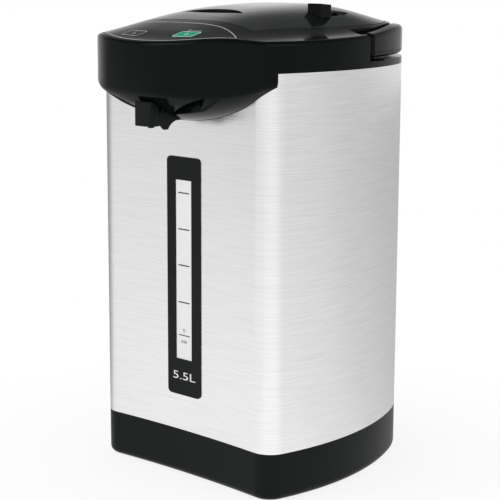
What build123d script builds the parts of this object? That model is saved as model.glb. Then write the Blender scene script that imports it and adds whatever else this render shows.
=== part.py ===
from build123d import *
import os
from math import atan2, cos, degrees, hypot, radians, sin, sqrt

# Electric thermo pot. Millimetres, +Z up, front towards -Y, origin on the table
# under the middle of the overall footprint.

# ---------------------------------------------------------------- plan outline
SIDE_HALF = 107.5          # widest half width of the steel body
SIDE_R = 239.6             # bow of each side
SIDE_Y = -19.75            # where the body is widest
REAR_R = 93.6              # round back
CORNER_R = 17.5            # front corners
FRONT_Y = -88.85           # middle of the slightly hollow front
FRONT_R = 1025.0           # hollow of the front
HEAD_FRONT_Y = -136.05     # foremost point of the head
HEAD_FRONT_R = 133.0       # bow of the head's front
HEAD_CORNER_R = 15.0

# --------------------------------------------------------------------- heights
FOOT_H = 1.4
BASE_TOP = 40.6
SHELL_TOP = 342.2
BASE_EDGE_R = 6.0
STEP_Y = -85.0             # where the low front part of the head begins

# ----------------------------------------------------------------------- walls
STEEL_T = 0.8
WALL = 2.6
DECK_T = 2.4
CLEAR = 0.3                # gap between parts that do not touch
FIT = 0.05                 # radial running clearance of pins

# ------------------------------------------------------------- crown of the head
RIM_Z = 364.1              # rim height at the front
RIM_SLOPE = 0.029          # the rim climbs towards the back
CROWN_H = 23.4
CROWN_Y = 20.0
CROWN_X_REACH = SIDE_HALF + 1.5
CROWN_SIDE_BEND = (3.66, 2.83)       # how flat the top and how hollow the toe is
CROWN_FRONT_BEND = (2.9, 1.255)
CROWN_REAR_BEND = (2.41, 4.0)
CROWN_FRONT_REACH = 156.5
CROWN_REAR_REACH = 137.0
RIM_ROUND = 3.4

# ------------------------------------------------------------------------ chin
CHIN_Y = -83.2
CHIN_Z = 371.7
CHIN_R = 71.1              # drop of the bowl below its axis
CHIN_X_REACH = SIDE_HALF + 9.5
BAND_ROUND = 6.0
POCKET_DEPTH = 7.0

# ------------------------------------------------------------------------ tank
TANK_R = SIDE_HALF - 12.0   # room for the insulation
TANK_Y = 18.65
TANK_T = 0.8
TANK_BOTTOM = 54.0
TANK_TOP = 329.8
TANK_FLANGE = 4.0
TANK_EDGE_R = 8.0
SEAL_T = 3.0

# ------------------------------------------------------------------------- lid
LID_FRONT_Y = -83.6
LID_REAR_Y = 103.5
LID_HALF = SIDE_HALF - 25.5  # leaves the strip that the bail lies in
LID_SIDE_R = 480.0
LID_SIDE_Y = 22.0
LID_FRONT_ROUND = 3.0
LID_REAR_ROUND = 58.0
LID_GAP = 0.8
LID_T = 2.4
SKIRT_H = 9.0
PLUG_R = LID_HALF - 12.0              # plug of the inner lid
MOUTH_R = PLUG_R + 4.0             # neck that it goes into
HINGE_R = 3.4              # knuckle radius
HINGE_PIN_R = 1.5
HINGE_RISE = 1.4           # hinge axis above the lid's rear edge

# ---------------------------------------------------------------------- handle
HANDLE_FRONT = 20.7        # front end of the bail, y
HANDLE_BOTTOM = 350.2
HANDLE_W = 8.6             # thickness in plan
PIVOT_BACK = 10.0          # pivot axis behind the front end
HANDLE_GAP = 2.2
PIVOT_PIN_R = 3.5
HANDLE_END_ROUND = 5.4     # upper corner of the bail's front end
HANDLE_OUTER_ROUND = 4.6
HANDLE_INNER_ROUND = 1.6
SWING_NOSE = 4.1           # room in front of the bail's end as it turns
SWING_LEAN = 9.2           # room for the bail leaning forward past upright

# ----------------------------------------------------------------------- gauge
PLATE_HALF = 18.9
PLATE_LOW = 71.0
PLATE_HIGH = 270.7
PLATE_T = 1.0
PLATE_ROUND = 4.0
STRIP_HALF = 9.0
STRIP_LOW = 101.8
STRIP_HIGH = 251.8
TUBE_R = 4.0
TUBE_T = 0.9
TUBE_LOW = 74.0
TUBE_HIGH = 278.8

# ---------------------------------------------------------------- control panel
PANEL_INSET = 3.5
PANEL_REAR_Y = -91.6
PANEL_FLAT_R = 491.0
PANEL_FLAT_HALF = 42.0
PANEL_END_R = 65.0
PANEL_T = 1.0
BUTTON_W = 21.0
BUTTON_D = 10.6
BUTTON_ROUND = 2.4
BUTTON_T = 3.2
BUTTON_PROUD = 0.35
BUTTON_TRAVEL = 1.2
DISPENSE_AT = (30.8, -115.6, 6.5)      # x, y, turn in degrees
UNLOCK_AT = (-25.5, -118.3, -4.0)

# ----------------------------------------------------------------------- spout
NOSE_HALF = 9.0
NOSE_FRONT = -134.4
NOSE_REAR = -124.3
NOSE_LOW = 298.8
NOSE_HIGH = 318.3
NOSE_T = 1.8
NOSE_SHOULDER = 308.3      # where the top's curve ends at the rear
BLOCK_FRONT = -127.9
NOSE_ROOM = 2.4            # gap in the chin on each side of the nose
SPOUT_Y = -121.5
SPOUT_PIPE_R = 4.5
SPOUT_BORE_R = 3.2
LEVER_PIVOT_Y = -114.5
LEVER_PIVOT_Z = 315.8
LEVER_PIN_R = 1.2
LEVER_T = 1.7

FAR = 400.0
X_AXIS = (1, 0, 0)


# -------------------------------------------------------------- small helpers
def circles_meet(ax, ay, ar, bx, by, br):
    """Both points where two circles in plan cross."""
    dx, dy = bx - ax, by - ay
    d = hypot(dx, dy)
    along = (ar * ar - br * br + d * d) / (2 * d)
    off = sqrt(ar * ar - along * along)
    mx, my = ax + dx * along / d, ay + dy * along / d
    return (mx + off * dy / d, my - off * dx / d), (mx - off * dy / d, my + off * dx / d)


def polar(cx, cy, r, angle):
    return cx + r * cos(angle), cy + r * sin(angle)


def heading(ax, ay, bx, by):
    return atan2(by - ay, bx - ax)


def arc(cx, cy, r, start, end):
    """Arc from one angle to the other, the short way."""
    return ThreePointArc(
        polar(cx, cy, r, start), polar(cx, cy, r, (start + end) / 2), polar(cx, cy, r, end)
    )


def mirrored(points):
    return [(-x, y) for x, y in points]


def prism(face, low, high):
    """Upright prism on a plan face lying at z = 0."""
    return extrude(face.moved(Location((0, 0, low))), amount=high - low, dir=(0, 0, 1))


def slab(x0, x1, y0, y1, z0, z1):
    """Plain block between two corners."""
    return Pos((x0 + x1) / 2, (y0 + y1) / 2, (z0 + z1) / 2) * Box(x1 - x0, y1 - y0, z1 - z0)


def rod(x, y, z0, z1, r):
    return Pos(x, y, (z0 + z1) / 2) * Cylinder(r, z1 - z0)


def ring(x, y, z0, z1, r_out, r_in):
    return rod(x, y, z0, z1, r_out) - rod(x, y, z0 - 1, z1 + 1, r_in)


def cross_rod(x0, x1, y, z, r):
    """Cylinder along X."""
    return Pos((x0 + x1) / 2, y, z) * Rot(0, 90, 0) * Cylinder(r, abs(x1 - x0))


def pipe(points, radii, r_out, r_in=0.0):
    """Tube along straight runs joined by bends."""
    path = FilletPolyline(*points, radius=radii)
    start = Plane(path @ 0, z_dir=path % 0)
    tube = sweep(start * Circle(r_out), path=path)
    return tube - sweep(start * Circle(r_in), path=path) if r_in else tube


def lead(shape):
    """The one solid of a result that has just one."""
    return max(shape.solids(), key=lambda s: s.volume)


def export(name, made):
    shapes = made if isinstance(made, list) else [made]
    solids = [s for shape in shapes for s in shape.solids()]
    export_step(solids[0] if len(solids) == 1 else Compound(solids), f"parts/{name}.step")


# ------------------------------------------------------------------ plan curves
SIDE_CX = SIDE_HALF - SIDE_R
REAR_CY = SIDE_Y + sqrt((SIDE_R - REAR_R) ** 2 - SIDE_CX ** 2)
REAR_Y = REAR_CY + REAR_R
REAR_ANGLE = heading(SIDE_CX, SIDE_Y, 0, REAR_CY)
HEAD_CY = HEAD_FRONT_Y + HEAD_FRONT_R


def outline(head, inset=0.0):
    """Plan face of the body, or of the head with its bowed front."""
    if head:
        front_cy, front_r, corner_r = HEAD_CY, HEAD_FRONT_R - inset, HEAD_CORNER_R
        reach = HEAD_FRONT_R - corner_r
    else:
        front_cy, front_r, corner_r = FRONT_Y - FRONT_R, FRONT_R + inset, CORNER_R
        reach = FRONT_R + corner_r
    meets = circles_meet(SIDE_CX, SIDE_Y, SIDE_R - corner_r, 0, front_cy, reach)
    cx, cy = max(meets, key=lambda m: m[0] - (m[1] if head else 0))
    to_front = heading(0, front_cy, cx, cy)
    to_side = heading(SIDE_CX, SIDE_Y, cx, cy)
    corner_from = to_front if head else to_front - radians(180)
    small = corner_r - inset
    edges = [
        ThreePointArc(
            mirrored([polar(0, front_cy, front_r, to_front)])[0],
            (0, front_cy + (-front_r if head else front_r)),
            polar(0, front_cy, front_r, to_front),
        ),
        arc(cx, cy, small, corner_from, to_side),
        arc(SIDE_CX, SIDE_Y, SIDE_R - inset, to_side, REAR_ANGLE),
    ]
    left = [mirror(e, about=Plane.YZ) for e in edges[1:]]
    back = ThreePointArc(
        polar(0, REAR_CY, REAR_R - inset, REAR_ANGLE),
        (0, REAR_Y - inset),
        mirrored([polar(0, REAR_CY, REAR_R - inset, REAR_ANGLE)])[0],
    )
    return make_face(edges + [back] + left)


def crown_z(x, y):
    """Height of the head's top surface."""
    reach, bend = (CROWN_FRONT_REACH, CROWN_FRONT_BEND) if y < CROWN_Y else (
        CROWN_REAR_REACH, CROWN_REAR_BEND)
    across = max(1 - abs(x / CROWN_X_REACH) ** CROWN_SIDE_BEND[0], 0) ** CROWN_SIDE_BEND[1]
    along = max(1 - (abs(y - CROWN_Y) / reach) ** bend[0], 0) ** bend[1]
    return RIM_Z + RIM_SLOPE * (y - HEAD_FRONT_Y) + CROWN_H * across * along


def crown_face():
    half, front, rear, nx, ny = SIDE_HALF + 18.5, HEAD_FRONT_Y - 20.0, REAR_Y + 20.0, 19, 25
    grid = [
        [
            (-half + 2 * half * i / (nx - 1), front + (rear - front) * j / (ny - 1))
            for j in range(ny)
        ]
        for i in range(nx)
    ]
    points = [[Vector(x, y, crown_z(x, y)) for x, y in row] for row in grid]
    return Face.make_surface_from_array_of_points(points, tol=0.02, min_deg=3, max_deg=5)


CROWN = crown_face()


def under_crown(drop=0.0, depth=130.0):
    """Everything from the crown, lowered by drop, down to depth below it."""
    return Solid.extrude(CROWN.moved(Location((0, 0, -drop))), Vector(0, 0, -depth))


def bowl(shrink=0.0):
    """Solid bowl of the chin: an ellipse turned about a level axis."""
    a, b = CHIN_X_REACH - shrink, CHIN_R - shrink
    half = Ellipse(a, b) & Pos(0, -b) * Rectangle(2 * a + 2, 2 * b)
    turned = revolve(Pos(0, 0, 0) * half, axis=Axis.X, revolution_arc=360)
    return Pos(0, CHIN_Y, CHIN_Z) * turned


# --------------------------------------------------------------- head volumes
def low_front(inset=0.0, grow=0.0, back=STEP_Y):
    """Front of the head below the shell's top edge, bounded by the bowl."""
    block = prism(outline(True, inset - grow), CHIN_Z - CHIN_R - 5, SHELL_TOP + 1)
    block &= slab(-FAR, FAR, -FAR, back + grow, 0, FAR)
    return block & bowl(inset - grow)


def lid_outline(grow=0.0):
    """Plan face of the lid, square at the front and round at the back."""
    cx = LID_HALF + grow - LID_SIDE_R
    front, rear = LID_FRONT_Y - grow, LID_REAR_Y + grow

    def side_x(y):
        return cx + sqrt(LID_SIDE_R ** 2 - (y - LID_SIDE_Y) ** 2)

    right = ThreePointArc(
        (side_x(front), front), (side_x(LID_SIDE_Y), LID_SIDE_Y), (side_x(rear), rear)
    )
    left = mirror(right, about=Plane.YZ)
    face = make_face([
        right, left,
        Line((-side_x(front), front), (side_x(front), front)),
        Line((-side_x(rear), rear), (side_x(rear), rear)),
    ])
    corners = face.vertices().sort_by(Axis.Y)
    face = fillet(corners[2:], LID_REAR_ROUND + grow)
    return fillet(face.vertices().sort_by(Axis.Y)[:2], LID_FRONT_ROUND + grow)


HINGE_Y = LID_REAR_Y + 0.6
HINGE_Z = crown_z(0, LID_REAR_Y) + HINGE_RISE


def head_housing():
    """Black upper casing: crown, collar and the bowed front with its chin."""
    top = prism(outline(True), SHELL_TOP, FAR) & under_crown()
    rim = [e for e in top.edges() if e.center().Z > RIM_Z - 3 and e.length > 1]
    top = fillet(rim, RIM_ROUND)
    body = lead(top + low_front())
    lower_edges = [
        e for e in body.edges()
        if e.center().Z < SHELL_TOP - 5 and e.center().Y < STEP_Y - 1
        and e.bounding_box().min.Z > CHIN_Z - CHIN_R + 12 and e.length > 5
        and e.bounding_box().max.Y < STEP_Y + 0.1
    ]
    lower_edges = [e for e in lower_edges if abs(e.center().Y - STEP_Y) > 2]
    body = fillet(lower_edges, BAND_ROUND)

    inner = HANDLE_W + HANDLE_GAP + WALL
    hollow = prism(outline(True, WALL), SHELL_TOP - 1, FAR) & slab(
        -FAR, FAR, -FAR, HANDLE_FRONT - HANDLE_GAP - WALL, 0, FAR)
    hollow += prism(outline(True, inner), SHELL_TOP - 1, FAR)
    for side in (-1, 1):
        hollow -= swing_room(side, WALL)
    hollow = hollow & under_crown(DECK_T)
    hollow += low_front(WALL, back=STEP_Y + WALL + 1)
    for side in (-1, 1):
        hollow -= wing_pocket(side, WALL)
    body = body - hollow
    for side in (-1, 1):
        body -= wing_pocket(side)

    lip = prism(outline(False, STEEL_T + CLEAR), LIP_LOW, SHELL_TOP) - prism(
        outline(False, inner), LIP_LOW - 1, SHELL_TOP + 1)
    lip &= slab(-FAR, FAR, STEP_Y + WALL + 4, FAR, 0, FAR)
    body = body + lip

    body -= prism(lid_outline(LID_GAP), SHELL_TOP, FAR)
    body -= handle_body(HANDLE_GAP)
    for side in (-1, 1):
        body -= swing_room(side)
    body -= panel_body(CLEAR / 2)
    for spot in (DISPENSE_AT, UNLOCK_AT):
        body -= prism(button_face(spot, CLEAR), SHELL_TOP, FAR)
    body -= slab(-NOSE_HALF - CLEAR, NOSE_HALF + CLEAR, BLOCK_FRONT - CLEAR,
                 LEVER_OPEN_REAR, CHIN_Z - CHIN_R - 3, SHELL_TOP - 12)
    mouth = slab(-NOSE_HALF - NOSE_ROOM, NOSE_HALF + NOSE_ROOM, BLOCK_FRONT - 1.0,
                 LEVER_PIVOT_Y - 5, CHIN_Z - CHIN_R - 3, SHELL_TOP - 12)
    body -= fillet(mouth.edges().filter_by(Axis.Z), 2.2)
    body -= rod(0, GAUGE_Y, CHIN_Z - CHIN_R - 3, SPOUT_TOP, SPOUT_PIPE_R + CLEAR)
    body = lead(body)
    for side in (-1, 1):
        boss = cross_rod(side * (PIVOT_X - HANDLE_W - HANDLE_GAP - WALL - 3),
                         side * (PIVOT_X - HANDLE_W - HANDLE_GAP - 0.2), PIVOT_Y, PIVOT_Z,
                         PIVOT_PIN_R + 2.5)
        body = body + boss
        body -= cross_rod(side * (PIVOT_X - 2 * HANDLE_W - 8), side * PIVOT_X, PIVOT_Y,
                          PIVOT_Z, PIVOT_PIN_R)
    for x, y in HEAD_SCREWS:
        body = body + rod(x, y, COLLAR_TOP, COLLAR_TOP + SCREW_LEN + 1, POST_R)
        body -= rod(x, y, COLLAR_TOP - 1, COLLAR_TOP + SCREW_LEN, SCREW_R)
    for x, y in ROD_SPOTS:
        body -= rod(x, y, LIP_LOW - 1, COLLAR_TOP + NUT_H + 1.5, NUT_R + 0.6)
    for x, y in BOARD_POSTS:
        body = body + rod(x, y, BOARD_Z + BOARD_T, crown_z(x, y) - PANEL_T - 1.3, 2.5)
    body = body + slab(-5, 5, SWITCH_REAR, SWITCH_REAR + 4, CHIN_Z - CHIN_R + WALL - 0.4,
                       SWITCH_Z + 9)
    for side in (-1, 1):
        x0, x1 = KNUCKLE_MID + LID_GAP, KNUCKLE_END
        ear = cross_rod(side * x0, side * x1, HINGE_Y, HINGE_Z, HINGE_R)
        foot = slab(min(side * x0, side * x1), max(side * x0, side * x1),
                    HINGE_Y, HINGE_Y + HINGE_R, HINGE_Z - HINGE_R - 2.6, HINGE_Z)
        body = body + ear + foot
        body -= cross_rod(side * (x0 - 1), side * (x1 + 1), HINGE_Y, HINGE_Z,
                          HINGE_PIN_R)
    body -= cross_rod(-KNUCKLE_MID - LID_GAP, KNUCKLE_MID + LID_GAP, HINGE_Y, HINGE_Z,
                      HINGE_R + LID_GAP)
    return lead(body)


def wing_pocket(side, grow=0.0):
    """Wing-shaped hollow in the chin beside the spout."""
    root, tip = (NOSE_HALF + 2.6, -112.4), (56.8, -122.1)
    bulge, heel = (37.0, -123.4), (43.2, -113.9)
    face = make_face([ThreePointArc(root, bulge, tip), Line(tip, heel), Line(heel, root)])
    if grow:
        face = offset(face, grow, kind=Kind.INTERSECTION)
    if side < 0:
        face = mirror(face, about=Plane.YZ)
    block = prism(face.face() if hasattr(face, "face") else face, CHIN_Z - CHIN_R - 5,
                  SHELL_TOP - 2)
    return block - bowl(POCKET_DEPTH + grow)


# ---------------------------------------------------------------- handle
def side_x(y, inset=0.0):
    """Half width of the body at y."""
    return SIDE_CX + sqrt((SIDE_R - inset) ** 2 - (y - SIDE_Y) ** 2)


def swing_room(side, grow=0.0):
    """Room that the bail's front end needs as it turns upright."""
    x = side_x(PIVOT_Y + 14, HANDLE_W + HANDLE_GAP) - 0.2 - grow
    low, back = HANDLE_BOTTOM - HANDLE_GAP - 0.8 - grow, PIVOT_Y + 14 + grow

    def room(outer, front, floor):
        x0, x1 = sorted((side * x, side * outer))
        return slab(x0, x1, front - grow, back, floor, FAR)

    main = room(PIVOT_X + 8, HANDLE_FRONT - HANDLE_GAP, low)
    nose = room(PIVOT_X + 1.7 + grow, HANDLE_FRONT - SWING_NOSE, low + 2)
    lean = room(PIVOT_X - 1.4 + grow, HANDLE_FRONT - SWING_LEAN, PIVOT_Z - 3.5 - grow)
    return main + nose + lean


PIVOT_Y = HANDLE_FRONT + PIVOT_BACK
HANDLE_TOP_FRONT = crown_z(SIDE_HALF - 8, PIVOT_Y)
PIVOT_Z = (HANDLE_BOTTOM + HANDLE_TOP_FRONT - 2) / 2
PIVOT_X = side_x(PIVOT_Y)


def handle_body(grow=0.0):
    """Bail along the back of the head; grow gives the hollow that it lies in."""
    band = outline(False, -grow * 2 if grow else 0.0) - outline(False, HANDLE_W + grow)
    body = prism(band, HANDLE_BOTTOM - grow, FAR)
    if grow:
        front = PIVOT_Y - PIVOT_BACK - grow
        return body & slab(-FAR, FAR, front, FAR, 0, FAR)
    body &= slab(-FAR, FAR, HANDLE_FRONT, FAR, 0, FAR)
    body = body & under_crown()
    low = [
        e for e in body.edges()
        if abs(e.center().Y - HANDLE_FRONT) < 0.01 and abs(e.center().Z - HANDLE_BOTTOM) < 0.01
    ]
    body = fillet(low, 7.5)
    high = [
        e for e in body.edges()
        if abs(e.center().Y - HANDLE_FRONT) < 0.3 and e.center().Z > PIVOT_Z + 6
    ]
    return fillet(high, HANDLE_END_ROUND)


def on_outline(point):
    """Whether a point lies on the body's outer wall."""
    if point.Y > REAR_CY + REAR_R * sin(REAR_ANGLE):
        return hypot(point.X, point.Y - REAR_CY) > REAR_R - 1
    return abs(point.X) > side_x(point.Y) - 1


def same_edges(body, wanted):
    """The edges of a body that still run through the middles of earlier ones."""
    return [e for e in body.edges() if any((e @ 0.5 - w @ 0.5).length < 1.5 and
                                           abs(e.length - w.length) < 6 for w in wanted)]


def carry_handle():
    body = handle_body()
    top = [e for e in body.edges() if e.center().Z > PIVOT_Z and e.length > 20]
    outer = [e for e in top if on_outline(e @ 0.5)]
    inner = [e for e in top if not on_outline(e @ 0.5)]
    body = fillet(outer, HANDLE_OUTER_ROUND)
    body = fillet(same_edges(body, inner), HANDLE_INNER_ROUND)
    for side in (-1, 1):
        body -= cross_rod(side * (PIVOT_X - HANDLE_W - 3), side * (PIVOT_X - 2.3), PIVOT_Y,
                          PIVOT_Z, PIVOT_PIN_R + FIT)
    return lead(body)


def handle_pins():
    return [
        cross_rod(side * (PIVOT_X - HANDLE_W - HANDLE_GAP - WALL - 5), side * (PIVOT_X - 2.6),
                  PIVOT_Y, PIVOT_Z, PIVOT_PIN_R)
        for side in (-1, 1)
    ]


# ---------------------------------------------------------------- control panel
def panel_face(grow=0.0):
    """Lens-shaped plan of the control panel."""
    front_r = HEAD_FRONT_R - PANEL_INSET + grow
    rear_y = PANEL_REAR_Y + grow
    sag = PANEL_FLAT_R - sqrt(PANEL_FLAT_R ** 2 - PANEL_FLAT_HALF ** 2)
    knee = (PANEL_FLAT_HALF, rear_y - sag)
    slope = atan2(PANEL_FLAT_HALF, PANEL_FLAT_R)
    end_cx = knee[0] - PANEL_END_R * sin(slope)
    end_cy = knee[1] - PANEL_END_R * cos(slope)
    meets = circles_meet(end_cx, end_cy, PANEL_END_R, 0, HEAD_CY, front_r)
    tip = max(meets, key=lambda m: m[0])
    turn = heading(end_cx, end_cy, *tip)
    start = heading(end_cx, end_cy, *knee)
    right = arc(end_cx, end_cy, PANEL_END_R, start, turn)
    left = mirror(right, about=Plane.YZ)
    middle = ThreePointArc((-knee[0], knee[1]), (0, rear_y), knee)
    front = ThreePointArc((-tip[0], tip[1]), (0, HEAD_CY - front_r), tip)
    return make_face([right, left, middle, front])


def panel_body(grow=0.0):
    """Panel sheet; grown, it is the shallow seat in the housing."""
    sheet = under_crown(-0.2 if not grow else -20.0, PANEL_T + (20.0 if grow else 0.2))
    return prism(panel_face(grow), SHELL_TOP, FAR) & sheet


def button_face(spot, grow=0.0):
    x, y, turn = spot
    w, d = BUTTON_W + 2 * grow, BUTTON_D + 2 * grow
    lean = 2.0
    face = make_face(Polyline(
        (-w / 2 - lean, -d / 2), (w / 2 - lean, -d / 2), (w / 2 + lean, d / 2),
        (-w / 2 + lean, d / 2), close=True))
    face = fillet(face.vertices(), BUTTON_ROUND + grow)
    return Pos(x, y) * Rot(0, 0, turn) * face


def control_panel():
    body = panel_body()
    for spot in (DISPENSE_AT, UNLOCK_AT):
        body -= prism(button_face(spot, CLEAR), SHELL_TOP, FAR)
    return lead(body)


def key(spot):
    """Key cap with a stem down to its switch."""
    x, y, _ = spot
    cap = prism(button_face(spot), SHELL_TOP, FAR) & under_crown(-BUTTON_PROUD, BUTTON_T)
    stem = rod(x, y, crown_z(x, y) - 9.0, crown_z(x, y) - 1.5, 2.0)
    return lead(cap + stem)


BOARD_Z = 350.8
BOARD_T = 1.6
BOARD_POSTS = ((-42.0, -105.5), (42.0, -105.5), (-8.0, -106.0), (8.0, -106.0))


def tact_switch(spot):
    x, y, _ = spot
    stem_low = crown_z(x, y) - 9.0 - BUTTON_TRAVEL - CLEAR
    body = slab(x - 3, x + 3, y - 3, y + 3, BOARD_Z + BOARD_T, stem_low - 1.0)
    return body + rod(x, y, stem_low - 1.1, stem_low, 1.6)


# ---------------------------------------------------------------------- lid
KNUCKLE_MID = 8.0
KNUCKLE_END = 17.0
PLUG_LOW = 348.8
PLUG_HIGH = 364.8
SEAT_Z = 358.8             # top of the collar, where the lid's gasket rests
RECESS_Y = -44.0           # rear wall of the finger recess, in its middle
RECESS_HALF = 34.0
RECESS_BOW = 12.0
RECESS_DEPTH = 4.2
SCOOP_REACH = 17.0
TAB_TRAVEL = 3.0
KNOB_X = LID_HALF - 20.5
KNOB_Y = 5.3
KNOB_W = 14.0
KNOB_D = 14.7
KNOB_TOP = 393.1
KNOB_TRAVEL = 18.0
TRACK_HALF = 4.6
TRACK_DEPTH = 4.6
TRACK_TAIL = 11.0          # shallow pointed end of the track
TAIL_DEPTH = 1.5
KNOB_SLOPE = (crown_z(KNOB_X, KNOB_Y + KNOB_TRAVEL) - crown_z(KNOB_X, KNOB_Y)) / KNOB_TRAVEL
LID_SCREWS = [(side * (PLUG_R - 28.0), TANK_Y + way) for way in (-44.65, 43.35)
              for side in (-1, 1)]
SCREW_R = 1.6
SCREW_HEAD_R = 3.2
SCREW_LEN = 9.0


def recess_arc_center():
    """Centre and radius of the arc that the recess's back wall follows."""
    r = (RECESS_HALF ** 2 + RECESS_BOW ** 2) / (2 * RECESS_BOW)
    return RECESS_Y - r, r


def recess_face(grow=0.0):
    """Lens plan of the finger scoop in front of the latch tab."""
    tips = RECESS_HALF + grow
    y = RECESS_Y - RECESS_BOW
    return make_face([
        ThreePointArc((-tips, y), (0, RECESS_Y + grow), (tips, y)),
        ThreePointArc((-tips, y), (0, RECESS_Y - SCOOP_REACH - grow), (tips, y)),
    ])


def scoop(grow=0.0):
    """Hollow that deepens from the front up to the latch tab."""
    low = crown_z(0, RECESS_Y) - RECESS_DEPTH
    tilt = degrees(atan2(low - crown_z(0, RECESS_Y - SCOOP_REACH), SCOOP_REACH))
    wedge = Pos(0, RECESS_Y, low - grow) * Rot(tilt, 0, 0) * Pos(0, -50, 40) * Box(200, 120, 80)
    return prism(recess_face(grow), SHELL_TOP, FAR) & wedge


def tab_face(grow=0.0, travel=0.0):
    """Plan of the latch tab, with the room it needs when it slides back."""
    cy, r = recess_arc_center()
    half = TAB_HALF + grow

    def y_at(radius):
        return cy + sqrt(radius ** 2 - half ** 2)

    near, far = r - grow, r + TAB_T + grow
    return make_face([
        ThreePointArc((-half, y_at(near)), (0, cy + near), (half, y_at(near))),
        ThreePointArc((-half, y_at(far) + travel), (0, cy + far + travel),
                      (half, y_at(far) + travel)),
        Line((-half, y_at(near)), (-half, y_at(far) + travel)),
        Line((half, y_at(near)), (half, y_at(far) + travel)),
    ])


def lid_cover():
    """Outer lid: crown skin, skirt, finger recess, knob track and screw posts."""
    plan = lid_outline()
    body = prism(plan, SHELL_TOP, FAR) & under_crown(0, LID_T)
    skirt = prism(plan, SHELL_TOP, FAR) - prism(lid_outline(-2.2), SHELL_TOP - 1, FAR)
    body = body + (skirt & under_crown(0, SKIRT_H))
    body = body + (scoop(RECESS_WALL) & under_crown()) - scoop()
    body -= prism(tab_face(CLEAR, TAB_TRAVEL), SHELL_TOP, FAR) & under_crown(TAB_ROOF, 30)
    body -= slab(-BOLT_HALF - CLEAR, BOLT_HALF + CLEAR, LID_FRONT_Y - 5, LID_FRONT_Y + 5,
                 BOLT_Z - CLEAR, BOLT_Z + BOLT_T + CLEAR)
    y0, y1 = TRACK_Y0 - TRACK_LIP, TRACK_Y1 + TRACK_LIP
    half = TRACK_HALF + TRACK_LIP
    body = body + (slab(KNOB_X - half - 1.6, KNOB_X + half + 1.6, y0 - 1.6, y1 + 1.6,
                        SHELL_TOP, FAR) & under_crown(0, TRACK_DEPTH + 1.6))
    body -= (slab(KNOB_X - TRACK_HALF, KNOB_X + TRACK_HALF, TRACK_Y0, TRACK_Y1, SHELL_TOP,
                  FAR) & under_crown(-5, TRACK_DEPTH + 4))
    tail = make_face(Polyline(
        (KNOB_X - TRACK_HALF, TRACK_Y1 - 0.1), (KNOB_X + TRACK_HALF, TRACK_Y1 - 0.1),
        (KNOB_X + 1, TRACK_Y1 + TRACK_TAIL), (KNOB_X - 1, TRACK_Y1 + TRACK_TAIL), close=True))
    body -= prism(tail, SHELL_TOP, FAR) & under_crown(-5, TAIL_DEPTH + 5)
    body -= (slab(KNOB_X - half, KNOB_X + half, y0, y1, SHELL_TOP, FAR)
             & under_crown(TRACK_ROOF, TRACK_DEPTH - TRACK_ROOF))
    for x, y in LID_SCREWS:
        post = rod(x, y, PLUG_HIGH, crown_z(x, y) - LID_T + 0.8, POST_R)
        body = body + (post - rod(x, y, PLUG_HIGH - 1, PLUG_HIGH + SCREW_LEN, SCREW_R))
    tongue = slab(-KNUCKLE_MID, KNUCKLE_MID, LID_REAR_Y - 3, HINGE_Y,
                  HINGE_Z - HINGE_R, HINGE_Z - 0.5)
    body = body + cross_rod(-KNUCKLE_MID, KNUCKLE_MID, HINGE_Y, HINGE_Z, HINGE_R) + tongue
    body -= cross_rod(-KNUCKLE_MID - 1, KNUCKLE_MID + 1, HINGE_Y, HINGE_Z, HINGE_PIN_R + FIT)
    for side in (-1, 1):
        body -= cross_rod(side * KNUCKLE_MID, side * (KNUCKLE_END + LID_GAP), HINGE_Y, HINGE_Z,
                          HINGE_R + LID_GAP)
    return lead(body)


TAB_HALF = RECESS_HALF - 6.0
TAB_T = 2.5
TAB_ROOF = 1.2             # lid skin left over the room behind the tab
RECESS_WALL = 1.8
POST_R = 4.2
TRACK_LIP = 1.6            # the knob's foot reaches this far under the track's edges
TRACK_ROOF = 2.0
TRACK_Y0 = KNOB_Y - KNOB_D / 2 + 3
TRACK_Y1 = KNOB_Y + KNOB_D / 2 + KNOB_TRAVEL - 1
BOLT_HALF = 9.0
BOLT_T = 2.0
BOLT_Z = crown_z(0, LID_FRONT_Y) - LID_T - 3.6


def lid_latch():
    """Finger tab with a flat bolt that runs forward to the lid's front edge."""
    tab = prism(tab_face(), SHELL_TOP, FAR) & under_crown(TAB_ROOF + CLEAR, RECESS_DEPTH + 3.5)
    blade = slab(-BOLT_HALF, BOLT_HALF, LID_FRONT_Y + 0.2, RECESS_Y + TAB_T, BOLT_Z,
                 BOLT_Z + BOLT_T)
    web = slab(-BOLT_HALF, BOLT_HALF, RECESS_Y + 0.2, RECESS_Y + TAB_T - 0.4, BOLT_Z,
               crown_z(0, RECESS_Y) - RECESS_DEPTH)
    return lead(tab + web + blade)


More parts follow.
